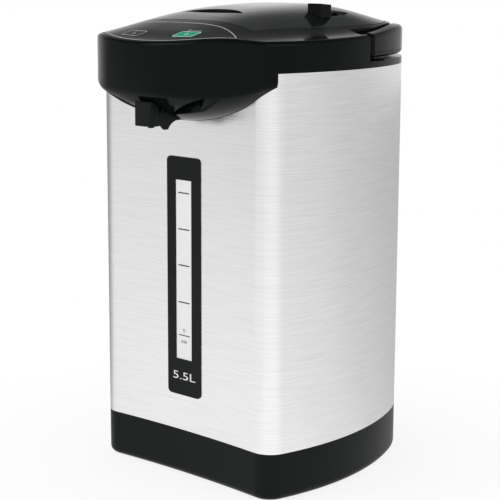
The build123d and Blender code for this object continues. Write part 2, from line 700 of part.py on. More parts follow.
def lid_knob():
    """Raised sliding knob that shuts the steam vent, with a foot held in its track."""
    x0, x1 = KNOB_X - KNOB_W / 2, KNOB_X + KNOB_W / 2
    y0, y1 = KNOB_Y - KNOB_D / 2, KNOB_Y + KNOB_D / 2
    block = slab(x0, x1, y0, y1, SHELL_TOP, FAR) - under_crown(-CLEAR, 130)
    side = Plane.YZ * make_face(Polyline(
        (y0, SHELL_TOP), (y1, SHELL_TOP), (y1, KNOB_TOP - 1.2), (y0, KNOB_TOP), close=True))
    block = block & extrude(side, amount=FAR, both=True)
    upright = [e for e in block.edges() if abs((e % 0.5).Z) > 0.95 and e.length > 3]
    block = fillet(upright, 1.5)
    y_end = TRACK_Y1 - KNOB_TRAVEL
    stem = slab(KNOB_X - TRACK_HALF + CLEAR, KNOB_X + TRACK_HALF - CLEAR, TRACK_Y0 + CLEAR,
                y_end - CLEAR, SHELL_TOP, FAR)
    stem &= under_crown(-CLEAR - 0.5, TRACK_DEPTH + 0.5)
    foot = slab(KNOB_X - TRACK_HALF - TRACK_LIP + CLEAR, KNOB_X + TRACK_HALF + TRACK_LIP - CLEAR,
                TRACK_Y0 + CLEAR, y_end - CLEAR, SHELL_TOP, FAR)
    foot &= under_crown(TRACK_ROOF + 0.7, TRACK_DEPTH - TRACK_ROOF - 1.2)
    return lead(block + stem + foot)


def lid_liner():
    """Inner lid: a shallow pan that plugs the tank's mouth."""
    body = rod(0, TANK_Y, PLUG_LOW, PLUG_HIGH, PLUG_R) - rod(
        0, TANK_Y, PLUG_LOW + LINER_T, PLUG_HIGH + 1, PLUG_R - LINER_T)
    body = body + ring(0, TANK_Y, PLUG_HIGH - LINER_T, PLUG_HIGH, GASKET_OUT + 1.0,
                       PLUG_R - LINER_T - 0.1)
    for x, y in LID_SCREWS:
        body = body + rod(x, y, PLUG_LOW, PLUG_HIGH, POST_R + 0.4)
        body -= rod(x, y, PLUG_LOW - 1, PLUG_HIGH - 2.0, SCREW_HEAD_R + CLEAR)
        body -= rod(x, y, PLUG_LOW - 1, PLUG_HIGH + 1, SCREW_R)
    return lead(body - rod(*VENT, PLUG_LOW - 1, PLUG_LOW + 3, VENT_R))


LINER_T = 1.2
GASKET_OUT = MOUTH_R + 5.0
VENT = (KNOB_X - 12.0, KNOB_Y)
VENT_R = 3.0


def steam_valve():
    """Weighted vent plug that hangs through the inner lid."""
    body = rod(*VENT, PLUG_LOW - 4, PLUG_LOW + LINER_T + 0.1, VENT_R) + rod(
        *VENT, PLUG_LOW + LINER_T, PLUG_LOW + LINER_T + 5, VENT_R + 3)
    return lead(body - rod(*VENT, PLUG_LOW - 5, PLUG_LOW + 10, 1.0))


def lid_gasket():
    return ring(0, TANK_Y, SEAT_Z + CLEAR, PLUG_HIGH - LINER_T, GASKET_OUT, PLUG_R)


def hinge_pin():
    return cross_rod(-KNUCKLE_END, KNUCKLE_END, HINGE_Y, HINGE_Z, HINGE_PIN_R)


# ---------------------------------------------------------------- inner parts
LIP_LOW = SHELL_TOP - 4.6
COLLAR_TOP = LIP_LOW
COLLAR_T = COLLAR_TOP - TANK_TOP - SEAL_T
HEAD_SCREWS = [(-SIDE_HALF + 19.5, -62.0), (SIDE_HALF - 19.5, -62.0),
               polar(0, REAR_CY, REAR_R - 8.3, radians(136.6)),
               polar(0, REAR_CY, REAR_R - 8.3, radians(43.4))]
ROD_SPOTS = [(-SIDE_HALF + 27.5, -68.0), (SIDE_HALF - 27.5, -68.0),
             (-30.0, REAR_Y - 17.0), (30.0, REAR_Y - 17.0)]
ROD_R = 2.0
NUT_R = 3.6
NUT_H = 3.0
LEVER_OPEN_REAR = -97.0
SWITCH_REAR = -96.5
SWITCH_Z = 309.8
BASE_FLOOR = 4.0
BASE_DECK = 30.0
COVER_INSET = 9.0


def inner_tank():
    """Deep drawn tank with a rolled flange and an outlet in its floor."""
    outer = rod(0, TANK_Y, TANK_BOTTOM, TANK_TOP, TANK_R)
    inner = rod(0, TANK_Y, TANK_BOTTOM + TANK_T, TANK_TOP + 1, TANK_R - TANK_T)
    low = outer.edges().filter_by(GeomType.CIRCLE).sort_by(Axis.Z)[0]
    outer = fillet(low, TANK_EDGE_R)
    low = inner.edges().filter_by(GeomType.CIRCLE).sort_by(Axis.Z)[0]
    inner = fillet(low, TANK_EDGE_R - TANK_T)
    flange = rod(0, TANK_Y, TANK_TOP - TANK_T, TANK_TOP, TANK_R + TANK_FLANGE)
    return lead(outer + flange - inner - rod(*PUMP, TANK_BOTTOM - 1, TANK_BOTTOM + 3,
                                             OUTLET_BORE))


OUTLET_BORE = 2.9
PUMP = (0.0, -50.0)
EYE_R = 5.0
PUMP_R = 19.0
PUMP_Z = 24.0
HOSE_R = 3.2
HOSE_BORE = 2.0


def tank_seal():
    return ring(0, TANK_Y, TANK_TOP, TANK_TOP + SEAL_T, TANK_R + TANK_FLANGE - 0.5, MOUTH_R)


def tank_collar():
    """Plate and neck between the tank's mouth and the lid."""
    plate = prism(outline(False, STEEL_T + CLEAR), TANK_TOP + SEAL_T, COLLAR_TOP)
    plate &= slab(-FAR, FAR, STEP_Y + WALL + 5, FAR, 0, FAR)
    neck = rod(0, TANK_Y, COLLAR_TOP - 0.5, SEAT_Z, MOUTH_R + 3.0)
    neck &= slab(-FAR, FAR, STEP_Y + WALL + 5, FAR, 0, FAR)
    body = plate + neck - rod(0, TANK_Y, TANK_TOP, SEAT_Z + 1, MOUTH_R)
    for x, y in HEAD_SCREWS:
        body -= rod(x, y, TANK_TOP, SEAT_Z, SCREW_R)
    for x, y in ROD_SPOTS:
        body -= rod(x, y, TANK_TOP, SEAT_Z, ROD_R)
    return lead(body)


def outer_shell():
    """Wrapped steel body with its slot for the gauge and notch for the chin."""
    body = prism(outline(False), BASE_TOP, SHELL_TOP) - prism(
        outline(False, STEEL_T), BASE_TOP - 1, SHELL_TOP + 1)
    body -= low_front(0.0, CLEAR, STEP_Y)
    body -= slab(-STRIP_HALF - 1, STRIP_HALF + 1, FRONT_Y - 9, FRONT_Y + 3, STRIP_LOW - 1,
                 STRIP_HIGH + 1)
    return lead(body)


def base_housing():
    """Plastic foot: wall, deck and the lip that locates the shell."""
    outer = prism(outline(False), FOOT_H, BASE_TOP)
    outer = fillet(outer.faces().sort_by(Axis.Z)[0].edges(), BASE_EDGE_R)
    hollow = prism(outline(False, WALL), FOOT_H + WALL, BASE_DECK)
    hollow = fillet(hollow.faces().sort_by(Axis.Z)[0].edges(), BASE_EDGE_R - WALL)
    lip = prism(outline(False, STEEL_T + CLEAR), BASE_TOP, BASE_TOP + 5)
    upper = prism(outline(False, STEEL_T + CLEAR + 2.2), BASE_DECK + WALL, BASE_TOP + 6)
    body = outer + lip - hollow - upper
    body -= prism(outline(False, COVER_INSET + COVER_LAP), FOOT_H - 1, FOOT_H + WALL + 1)
    body -= prism(outline(False, COVER_INSET), FOOT_H - 1, FOOT_H + COVER_STEP)
    body -= rod(0, TANK_Y, BASE_DECK - 1, BASE_TOP + 6, SKIRT_R - 6)
    body -= slab(-PUMP_R - 3, PUMP_R + 3, PUMP[1] - PUMP_R - 3, PUMP[1], BASE_DECK - 1,
                 BASE_TOP + 6)
    body -= slab(-8, 8, FRONT_Y + WALL, PUMP[1], BASE_DECK - 1, BASE_TOP + 6)
    for x, y in COVER_SCREWS:
        body = body + rod(x, y, BOSS_TOP, BASE_DECK + 1, POST_R)
        body -= rod(x, y, BOSS_TOP - 1, BOSS_TOP + SCREW_LEN, SCREW_R)
    for x, y in ROD_SPOTS:
        body -= rod(x, y, BASE_DECK - 1, BASE_TOP + 6, ROD_R)
    body -= inlet_opening(CLEAR / 2)
    return lead(body)


SKIRT_R = 84.0
COVER_SCREWS = ((-78.0, -60.0), (78.0, -60.0), (-52.0, 90.0), (52.0, 90.0))
COVER_LAP = 2.0
COVER_STEP = 1.4
BOSS_TOP = FOOT_H + 4.8
COVER_TOP = FOOT_H + 2.8


def bottom_cover():
    """Plate that closes the base from below, stepped round its edge."""
    body = prism(outline(False, COVER_INSET + CLEAR), FOOT_H, FOOT_H + COVER_STEP)
    body = body + prism(outline(False, COVER_INSET + COVER_LAP + CLEAR),
                        FOOT_H + COVER_STEP, COVER_TOP)
    for x, y in COVER_SCREWS:
        body = body + rod(x, y, FOOT_H, BOSS_TOP, 6.0)
        body -= rod(x, y, FOOT_H - 1, FOOT_H + SCREW_SUNK, SCREW_HEAD_R + CLEAR)
        body -= rod(x, y, FOOT_H, BOSS_TOP + 1, SCREW_R)
    for i in range(-3, 3):
        body -= slab(VENT_PITCH * (i + 0.5) - 1.5, VENT_PITCH * (i + 0.5) + 1.5, 16, 50, 0, 12)
    return lead(body)


SCREW_SUNK = 2.6
VENT_PITCH = 7.0
FEET = ((-64.0, -68.0), (64.0, -68.0), (-34.0, 104.0), (34.0, 104.0))
FOOT_R = 7.0


def inlet_opening(grow=0.0):
    return slab(-INLET_HALF - grow, INLET_HALF + grow, REAR_Y - 9, REAR_Y + 5,
                INLET_Z - 10 - grow, INLET_Z + 10 + grow)


INLET_HALF = 13.5
INLET_Z = 18.0
INLET_DEPTH = 24.0


def side_rear_y(x):
    """Rear face of the body at x."""
    return REAR_CY + sqrt(REAR_R ** 2 - x ** 2)


def power_inlet():
    """Mains socket at the back of the base, open to the rear."""
    face_y = REAR_Y - 0.6
    body = slab(-INLET_HALF, INLET_HALF, face_y - INLET_DEPTH, face_y, INLET_Z - 10,
                INLET_Z + 10)
    body -= slab(-INLET_HALF + 1.8, INLET_HALF - 1.8, face_y - INLET_DEPTH + 4, face_y + 1,
                 INLET_Z - 8.2, INLET_Z + 8.2)
    seat = side_rear_y(INLET_HALF + 4) - WALL - CLEAR
    flange = slab(-INLET_HALF - 4, INLET_HALF + 4, seat - 2, seat, INLET_Z - 10, INLET_Z + 11)
    body = body + (flange - slab(-INLET_HALF + 1.8, INLET_HALF - 1.8, seat - 3, seat + 1,
                                 INLET_Z - 8.2, INLET_Z + 8.2))
    for x, z in INLET_PINS:
        body -= Pos(x, face_y - INLET_DEPTH + 2, z) * Rot(90, 0, 0) * Cylinder(1.6, 6)
    return lead(body)


INLET_PINS = ((-7.0, INLET_Z - 2), (7.0, INLET_Z - 2), (0.0, INLET_Z + 3))


def inlet_pins():
    y0, y1 = REAR_Y - 0.6 - INLET_DEPTH - 5, REAR_Y - 6
    return [Pos(x, (y0 + y1) / 2, z) * Rot(90, 0, 0) * Cylinder(1.6, y1 - y0)
            for x, z in INLET_PINS]


def tank_skirt():
    """Steel ring that carries the tank on the base's deck."""
    wall = ring(0, TANK_Y, BASE_DECK + WALL, TANK_BOTTOM, SKIRT_R, SKIRT_R - 1.0)
    foot = ring(0, TANK_Y, BASE_DECK + WALL, BASE_DECK + WALL + 1.0, SKIRT_R + 4, SKIRT_R - 1)
    window = slab(-PUMP_R - 3, PUMP_R + 3, PUMP[1] - 40, PUMP[1] + 20, BASE_DECK,
                  TANK_BOTTOM - 6)
    return lead(wall + foot - window)


def heater():
    """Flat ring heater pressed to the tank's floor."""
    plate = ring(0, TANK_Y + 6, TANK_BOTTOM - 5, TANK_BOTTOM, 62, 34)
    tabs = [slab(x - 3, x + 3, TANK_Y + 60, TANK_Y + 74, TANK_BOTTOM - 4, TANK_BOTTOM - 3)
            for x in (-9.0, 9.0)]
    return lead(plate + tabs[0] + tabs[1])


def thermostats():
    return [
        rod(x, TANK_Y + 6, TANK_BOTTOM - 9, TANK_BOTTOM, 8.0)
        + slab(x - 9, x + 9, TANK_Y + 4, TANK_Y + 8, TANK_BOTTOM - 10, TANK_BOTTOM - 9)
        for x in (-14.0, 14.0)
    ]


def pump_housing():
    """Volute of the circulating pump with its inlet and outlet stubs."""
    x, y = PUMP
    body = rod(x, y, PUMP_Z, PUMP_Z + 12, PUMP_R)
    body = body + Pos(x, y - PUMP_R, PUMP_Z + 6) * Rot(90, 0, 0) * Cylinder(HOSE_R, 10)
    body = body + rod(x, y, PUMP_Z + 11, PUMP_Z + 16, EYE_R)
    body -= rod(x, y, PUMP_Z + 2, PUMP_Z + 10, PUMP_R - 2)
    body -= rod(x, y, PUMP_Z + 9, PUMP_Z + 17, 3.2)
    body -= Pos(x, y - PUMP_R, PUMP_Z + 6) * Rot(90, 0, 0) * Cylinder(HOSE_BORE, 14)
    body -= rod(x, y, PUMP_Z - 1, PUMP_Z + 3, SHAFT_R + FIT)
    return lead(body)


SHAFT_R = 1.5
MOTOR_LOW = FOOT_H + 2.8


def pump_impeller():
    x, y = PUMP
    body = rod(x, y, PUMP_Z + 3, PUMP_Z + 5, PUMP_R - 4) + rod(x, y, PUMP_Z + 3, PUMP_Z + 8, 4)
    for i in range(6):
        blade = slab(3, PUMP_R - 4.4, -0.7, 0.7, PUMP_Z + 4.5, PUMP_Z + 8.5)
        body = body + Pos(x, y) * Rot(0, 0, 60 * i) * blade
    return lead(body - rod(x, y, PUMP_Z + 2, PUMP_Z + 7, SHAFT_R))


def motor_shaft():
    return rod(*PUMP, MOTOR_TOP - 6, PUMP_Z + 7, SHAFT_R)


MOTOR_TOP = PUMP_Z - 1.0


def pump_motor():
    x, y = PUMP
    can = rod(x, y, MOTOR_LOW, MOTOR_TOP, 13.5)
    ear = slab(x - 18, x + 18, y - 5, y + 5, MOTOR_TOP - 1.5, MOTOR_TOP)
    posts = [rod(x + s * 15.8, y, MOTOR_TOP - 0.1, PUMP_Z, 2.0) for s in (-1, 1)]
    body = can + ear + posts[0] + posts[1]
    return lead(body - rod(x, y, MOTOR_TOP - 7, MOTOR_TOP + 1, SHAFT_R + FIT))


def inlet_hose():
    """Short rubber sleeve from the tank's outlet down over the pump's eye."""
    low, top = PUMP_Z + 12, PUMP_Z + 16
    return ring(*PUMP, low, top, 6.6, EYE_R) + ring(*PUMP, top, TANK_BOTTOM, 6.6, OUTLET_BORE)


GAUGE_Y = FRONT_Y + STEEL_T + CLEAR + TUBE_R + 0.9


def outlet_hose():
    """Silicone hose from the pump to the foot of the gauge tube."""
    x, y = PUMP
    z = PUMP_Z + 6
    start = (x, y - PUMP_R - 5, z)
    return lead(pipe([start, (x, GAUGE_Y, z), (x, GAUGE_Y, TUBE_LOW)], [6.0], HOSE_R,
                     HOSE_BORE))


def gauge_tube():
    return ring(0, GAUGE_Y, TUBE_LOW, TUBE_HIGH, TUBE_R, TUBE_R - TUBE_T)


SPOUT_TOP = 329.8


def spout_pipe():
    """Pipe from the top of the gauge tube over to the nozzle."""
    return lead(pipe([(0, GAUGE_Y, TUBE_HIGH), (0, GAUGE_Y, SPOUT_TOP),
                      (0, SPOUT_Y, SPOUT_TOP), (0, SPOUT_Y, NOSE_LOW + 2)],
                     [11.0, 11.0], SPOUT_PIPE_R, SPOUT_BORE_R))


def gauge_panel():
    """Black plate on the front of the shell with its window slot."""
    front = FRONT_Y - 4
    plate = prism(outline(False, -PLATE_T), 0, FAR) - prism(outline(False), -1, FAR + 1)
    face = fillet(Rectangle(2 * PLATE_HALF, PLATE_HIGH - PLATE_LOW).vertices(), PLATE_ROUND)
    cutter = Pos(0, front, (PLATE_LOW + PLATE_HIGH) / 2) * Rot(90, 0, 0) * face
    plate &= extrude(cutter, amount=9, both=True)
    window = slab(-STRIP_HALF, STRIP_HALF, front - 5, front + 9, STRIP_LOW, STRIP_HIGH)
    return lead(plate - window)


def gauge_window():
    """Clear strip with a flange behind the plate."""
    strip = prism(outline(False, -PLATE_T * 0.6) - outline(False, STEEL_T), STRIP_LOW + 0.1,
                  STRIP_HIGH - 0.1)
    strip &= slab(-STRIP_HALF + 0.1, STRIP_HALF - 0.1, FRONT_Y - 5, FRONT_Y + 3, 0, FAR)
    back = prism(outline(False, STEEL_T) - outline(False, STEEL_T + 0.8), STRIP_LOW - 4,
                 STRIP_HIGH + 4)
    back &= slab(-STRIP_HALF - 4, STRIP_HALF + 4, FRONT_Y - 5, FRONT_Y + 5, 0, FAR)
    return lead(strip + back)


# ---------------------------------------------------------------- spout parts
def spout_cover():
    """Curved nose in front of the nozzle, open below and behind."""
    def block(inset):
        half = NOSE_HALF - inset
        front, top = NOSE_FRONT + inset, NOSE_HIGH - inset
        rear = NOSE_REAR + (1 if inset else 0)
        low = NOSE_LOW - (1 if inset else 0)
        bend = (NOSE_FRONT + 0.74 * (NOSE_REAR - NOSE_FRONT),
                NOSE_SHOULDER + 0.66 * (NOSE_HIGH - NOSE_SHOULDER) - inset)
        shoulder = NOSE_SHOULDER - inset
        side = make_face([
            Line((front, low), (rear, low)),
            Line((rear, low), (rear, shoulder)),
            ThreePointArc((rear, shoulder), bend, (front + 0.8, top)),
            Line((front + 0.8, top), (front, top - 0.8)),
            Line((front, top - 0.8), (front, low)),
        ])
        return extrude(Plane.YZ * side, amount=half, both=True)

    body = block(0.0)
    upright = [e for e in body.edges() if abs((e % 0.5).Z) > 0.99
               and e.center().Y < NOSE_FRONT + 0.1]
    body = fillet(upright, 1.2)
    inner = NOSE_HALF - NOSE_T
    return lead(body - block(NOSE_T)
                - slab(-inner, inner, BLOCK_FRONT - CLEAR, NOSE_REAR + 1, NOSE_LOW, NOSE_HIGH))


def spout_body():
    """Nozzle block around the end of the spout pipe."""
    half = NOSE_HALF - NOSE_T - CLEAR
    body = slab(-half, half, BLOCK_FRONT, BLOCK_REAR, NOSE_LOW + 3, SHELL_TOP - 17)
    rail = slab(-3, 3, NOSE_FRONT + NOSE_T + CLEAR, BLOCK_FRONT + 1, NOSE_LOW + 6,
                NOSE_SHOULDER)
    return lead(body + rail - rod(0, SPOUT_Y, NOSE_LOW, SHELL_TOP, SPOUT_PIPE_R)
                - cross_rod(-NOSE_HALF, NOSE_HALF, LEVER_PIVOT_Y, LEVER_PIVOT_Z, LEVER_PIN_R))


BLOCK_REAR = LEVER_PIVOT_Y + 2.8


def cup_lever():
    """Lever behind the nozzle that a cup pushes back to draw water."""
    front = LEVER_PIVOT_Y - NOSE_REAR - CLEAR

    def at(ahead, rise):
        return LEVER_PIVOT_Y - ahead, LEVER_PIVOT_Z + rise

    profile = make_face([
        Line(at(front, -15.6), at(4.7, -20.2)),
        Line(at(4.7, -20.2), at(0.5, -20.2)),
        ThreePointArc(at(0.5, -20.2), at(-2.9, -16.1), at(-12.9, -13.7)),
        Line(at(-12.9, -13.7), at(-12.3, -11.6)),
        Line(at(-12.3, -11.6), at(-5.1, -8.6)),
        Line(at(-5.1, -8.6), at(-4.0, -4.0)),
        Line(at(-4.0, -4.0), at(-3.2, 3.0)),
        Line(at(-3.2, 3.0), at(3.2, 3.0)),
        Line(at(3.2, 3.0), at(front - 0.8, -6.0)),
        Line(at(front - 0.8, -6.0), at(front, -8.0)),
        Line(at(front, -8.0), at(front, -15.6)),
    ])
    body = extrude(Plane.YZ * profile, amount=NOSE_HALF, both=True)
    inner = NOSE_HALF - LEVER_T
    body -= slab(-inner, inner, -FAR, BLOCK_REAR + 0.4, 0, FAR)
    body -= cross_rod(-FAR, FAR, LEVER_PIVOT_Y, LEVER_PIVOT_Z, LEVER_PIN_R + FIT)
    return lead(body)


def lever_switch():
    """Microswitch behind the cup lever."""
    body = slab(-5, 5, SWITCH_REAR - 9, SWITCH_REAR, SWITCH_Z, SWITCH_Z + 8)
    return lead(body + slab(-1.5, 1.5, SWITCH_REAR - 8, SWITCH_REAR - 5, SWITCH_Z - 1.2,
                            SWITCH_Z + 0.1))


def lever_pin():
    return cross_rod(-NOSE_HALF, NOSE_HALF, LEVER_PIVOT_Y, LEVER_PIVOT_Z, LEVER_PIN_R)


def screws(spots, seat, length=7.5):
    """Pan-head screws, head below its seat, shank upwards."""
    return [rod(x, y, seat - 2.0, seat, SCREW_HEAD_R)
            + rod(x, y, seat - 0.1, seat + length, SCREW_R) for x, y in spots]


def tie_rods():
    return [rod(x, y, BASE_DECK - NUT_H, COLLAR_TOP + NUT_H + 1, ROD_R)
            + rod(x, y, COLLAR_TOP, COLLAR_TOP + NUT_H, NUT_R)
            + rod(x, y, BASE_DECK - NUT_H, BASE_DECK, NUT_R) for x, y in ROD_SPOTS]


def button_board():
    """Circuit board under the control panel, on two posts of the collar."""
    return slab(-45, 45, -123, -103, BOARD_Z, BOARD_Z + BOARD_T)


def power_board():
    """Mains board on four stand-offs of the bottom cover."""
    z = COVER_TOP
    body = slab(-40, 40, 60, 96, z + 4, z + 5.6)
    for x in (-35, 35):
        for y in (64, 92):
            body = body + rod(x, y, z, z + 4.1, 2.5)
    return lead(body)


def board_parts():
    z = COVER_TOP + 5.6
    return [slab(-32, -12, 66, 90, z, z + 15), slab(-4, 12, 68, 84, z, z + 12),
            rod(22, 76, z, z + 14, 6.0), slab(30, 38, 68, 88, z, z + 9)]


def rubber_feet():
    return [rod(x, y, 0, FOOT_H, FOOT_R) for x, y in FEET]


def dispense_button():
    return key(DISPENSE_AT)


def unlock_button():
    return key(UNLOCK_AT)


def tact_switches():
    return [tact_switch(DISPENSE_AT), tact_switch(UNLOCK_AT)]


def base_screws():
    return screws(COVER_SCREWS, FOOT_H + SCREW_SUNK)


def head_screws():
    return screws(HEAD_SCREWS, TANK_TOP + SEAL_T, 10.0)


def lid_screws():
    return screws(LID_SCREWS, PLUG_HIGH - 2.0)


PIECES = [
    outer_shell, base_housing, bottom_cover, rubber_feet, base_screws, power_inlet, inlet_pins,
    head_housing, carry_handle, handle_pins, hinge_pin, head_screws,
    control_panel, dispense_button, unlock_button, button_board, tact_switches,
    lid_cover, lid_liner, lid_gasket, lid_latch, lid_knob, steam_valve, lid_screws,
    inner_tank, tank_seal, tank_collar, tank_skirt, tie_rods, heater, thermostats,
    pump_housing, pump_impeller, motor_shaft, pump_motor, inlet_hose, outlet_hose,
    gauge_tube, spout_pipe, gauge_panel, gauge_window,
    spout_cover, spout_body, cup_lever, lever_pin, lever_switch,
    power_board, board_parts,
]

if __name__ == "__main__":
    os.makedirs("parts", exist_ok=True)
    for piece in PIECES:
        export(piece.__name__, piece())
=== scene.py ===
import math

import bpy
from mathutils import Matrix, Vector
from mathutils.bvhtree import BVHTree


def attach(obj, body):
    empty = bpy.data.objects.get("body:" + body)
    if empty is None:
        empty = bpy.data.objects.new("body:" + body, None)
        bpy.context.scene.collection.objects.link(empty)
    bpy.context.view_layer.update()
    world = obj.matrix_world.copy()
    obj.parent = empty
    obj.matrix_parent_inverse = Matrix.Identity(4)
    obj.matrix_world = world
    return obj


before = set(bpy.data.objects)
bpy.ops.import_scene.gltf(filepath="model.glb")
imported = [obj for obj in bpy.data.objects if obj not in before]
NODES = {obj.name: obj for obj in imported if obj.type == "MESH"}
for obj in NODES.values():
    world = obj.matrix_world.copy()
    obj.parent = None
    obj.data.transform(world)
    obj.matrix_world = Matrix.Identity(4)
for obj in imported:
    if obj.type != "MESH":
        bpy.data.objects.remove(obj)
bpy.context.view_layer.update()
MM = 0.001


# ------------------------------------------------------------------ node helpers
class Shader:
    """A node material built step by step."""

    def __init__(self, name):
        self.material = bpy.data.materials.new(name)
        self.material.use_nodes = True
        self.tree = self.material.node_tree
        self.principled = self.tree.nodes["Principled BSDF"]

    def node(self, kind, **settings):
        made = self.tree.nodes.new(kind)
        for key, value in settings.items():
            setattr(made, key, value)
        return made

    def link(self, source, target):
        self.tree.links.new(source, target)

    def place(self, scale):
        """Object coordinates stretched by a scale along each axis."""
        coordinates = self.node("ShaderNodeTexCoord")
        mapping = self.node("ShaderNodeMapping")
        mapping.inputs["Scale"].default_value = scale
        self.link(coordinates.outputs["Object"], mapping.inputs["Vector"])
        return mapping.outputs["Vector"]

    def noise(self, scale, detail=2.0, roughness=0.5):
        """Noise whose grain is 1/scale metres along each axis."""
        texture = self.node("ShaderNodeTexNoise")
        texture.inputs["Scale"].default_value = 1.0
        texture.inputs["Detail"].default_value = detail
        texture.inputs["Roughness"].default_value = roughness
        self.link(self.place(scale), texture.inputs["Vector"])
        return texture.outputs["Fac"]

    def spread(self, value, low, high, start=0.3, end=0.7):
        """A noise value brought to the range from low to high."""
        ranged = self.node("ShaderNodeMapRange")
        limits = (("From Min", start), ("From Max", end), ("To Min", low), ("To Max", high))
        for key, number in limits:
            ranged.inputs[key].default_value = number
        self.link(value, ranged.inputs["Value"])
        return ranged.outputs["Result"]

    def mix(self, factor, one, other):
        """Colour between two colours, or between two sockets."""
        blend = self.node("ShaderNodeMix", data_type="RGBA")
        self.link(factor, blend.inputs["Factor"])
        for socket, colour in ((blend.inputs[6], one), (blend.inputs[7], other)):
            if isinstance(colour, tuple):
                socket.default_value = (*colour, 1.0)
            else:
                self.link(colour, socket)
        return blend.outputs[2]

    def bump(self, height, strength, distance):
        bump = self.node("ShaderNodeBump")
        bump.inputs["Strength"].default_value = strength
        bump.inputs["Distance"].default_value = distance
        self.link(height, bump.inputs["Height"])
        self.link(bump.outputs["Normal"], self.principled.inputs["Normal"])

    def set(self, **values):
        for key, value in values.items():
            socket = self.principled.inputs[key.replace("_", " ")]
            if hasattr(value, "is_output"):
                self.link(value, socket)
            elif isinstance(value, tuple):
                socket.default_value = (*value, 1.0)
            else:
                socket.default_value = value
        return self


def grey(value, tint=(1.0, 1.0, 1.0)):
    return tuple(value * part for part in tint)


# ----------------------------------------------------------------------- finishes
def brushed_steel(name, light, dark, roughness, strokes=(26, 26, 1150)):
    """Steel with fine strokes that run level round the body."""
    shader = Shader(name)
    coarse = shader.noise(strokes, detail=3.0, roughness=0.6)
    fine = shader.noise(tuple(2.7 * part for part in strokes), detail=2.0)
    cloud = shader.noise((9, 9, 9), detail=2.0)
    tone = shader.mix(shader.spread(coarse, 0.0, 1.0, 0.32, 0.68), dark, light)
    tone = shader.mix(shader.spread(fine, 0.0, 0.35), tone, light)
    tone = shader.mix(shader.spread(cloud, 0.0, 0.12), tone, dark)
    shader.set(Base_Color=tone, Metallic=1.0, Anisotropic=0.55,
               Roughness=shader.spread(coarse, roughness - 0.035, roughness + 0.035))
    tangent = shader.node("ShaderNodeTangent", direction_type="RADIAL", axis="Z")
    shader.link(tangent.outputs["Tangent"], shader.principled.inputs["Tangent"])
    shader.bump(fine, 0.05, 0.00004)
    return shader.material


def plastic(name, colour, roughness, specular=0.5, grain=1400, grain_depth=0.00002, cloud=0.15):
    """Moulded plastic: faint mould grain, slow change of gloss and of depth of colour."""
    shader = Shader(name)
    slow = shader.noise((14, 14, 14), detail=3.0)
    speck = shader.noise((grain, grain, grain), detail=1.0)
    deep = tuple(part * (1 - cloud) for part in colour)
    shader.set(Base_Color=shader.mix(shader.spread(slow, 0.0, 1.0), deep, colour),
               Roughness=shader.spread(slow, roughness * 0.88, roughness * 1.12))
    shader.principled.inputs["Specular IOR Level"].default_value = specular
    shader.bump(speck, 0.25, grain_depth)
    return shader.material


def rubber(name, colour):
    shader = Shader(name)
    speck = shader.noise((2200, 2200, 2200), detail=2.0)
    slow = shader.noise((40, 40, 40))
    shader.set(Base_Color=shader.mix(shader.spread(slow, 0.0, 1.0), grey(0.8, colour), colour),
               Roughness=shader.spread(speck, 0.55, 0.75))
    shader.bump(speck, 0.3, 0.00005)
    return shader.material


def cast_metal(name, colour, roughness, grain=900):
    """Plain turned or pressed metal for fasteners, pins and motor cans."""
    shader = Shader(name)
    speck = shader.noise((grain, grain, grain), detail=3.0)
    shader.set(Base_Color=shader.mix(shader.spread(speck, 0.0, 1.0), grey(0.86, colour), colour),
               Metallic=1.0, Roughness=shader.spread(speck, roughness - 0.06, roughness + 0.06))
    shader.bump(speck, 0.15, 0.00003)
    return shader.material


def circuit_board(name):
    """Green solder mask with a faint network of copper tracks under it."""
    shader = Shader(name)
    cells = shader.node("ShaderNodeTexVoronoi", feature="DISTANCE_TO_EDGE", distance="MANHATTAN")
    cells.inputs["Scale"].default_value = 1.0
    shader.link(shader.place((160, 160, 1)), cells.inputs["Vector"])
    track = shader.spread(cells.outputs["Distance"], 1.0, 0.0, 0.05, 0.09)
    shader.set(Base_Color=shader.mix(track, (0.012, 0.13, 0.045), (0.03, 0.24, 0.08)),
               Roughness=shader.spread(track, 0.45, 0.3))
    return shader.material


def milky_window(name):
    """White gauge strip behind a clear glossy face."""
    shader = Shader(name)
    slow = shader.noise((30, 30, 12))
    shader.set(Base_Color=shader.mix(shader.spread(slow, 0.0, 1.0), grey(0.88), grey(0.92)),
               Roughness=shader.spread(slow, 0.16, 0.24), Coat_Weight=0.6, Coat_Roughness=0.05)
    return shader.material


def print_ink(name, colour, roughness=0.45):
    """Silk-screened ink, slightly uneven."""
    shader = Shader(name)
    speck = shader.noise((3000, 3000, 3000), detail=2.0)
    shader.set(Base_Color=shader.mix(shader.spread(speck, 0.0, 1.0), grey(0.9, colour), colour),
               Roughness=shader.spread(speck, roughness - 0.05, roughness + 0.05))
    return shader.material


BLACK = (0.0055, 0.0068, 0.007)
steel = brushed_steel("brushed_shell", grey(0.99, (1.0, 1.0, 0.995)), grey(0.87), 0.24)
tank_steel = brushed_steel("tank_steel", grey(0.82), grey(0.66), 0.25, strokes=(60, 60, 700))
head_black = plastic("head_black", grey(0.8, BLACK), 0.16, specular=0.075)
lid_black = plastic("lid_black", grey(1.1, BLACK), 0.12, specular=0.27)
panel_black = plastic("panel_black", grey(0.95, BLACK), 0.16, specular=0.08)
key_black = plastic("key_black", grey(1.4, BLACK), 0.26, specular=0.14)
key_green = plastic("key_green", (0.012, 0.34, 0.20), 0.40, specular=0.06)
knob_black = plastic("knob_black", grey(0.9, BLACK), 0.34, specular=0.09)
spout_black = plastic("spout_black", grey(1.4, BLACK), 0.3, specular=0.12)
base_black = plastic("base_black", grey(1.3, BLACK), 0.3, specular=0.10)
plate_black = plastic("plate_black", grey(1.4, BLACK), 0.26, specular=0.12)
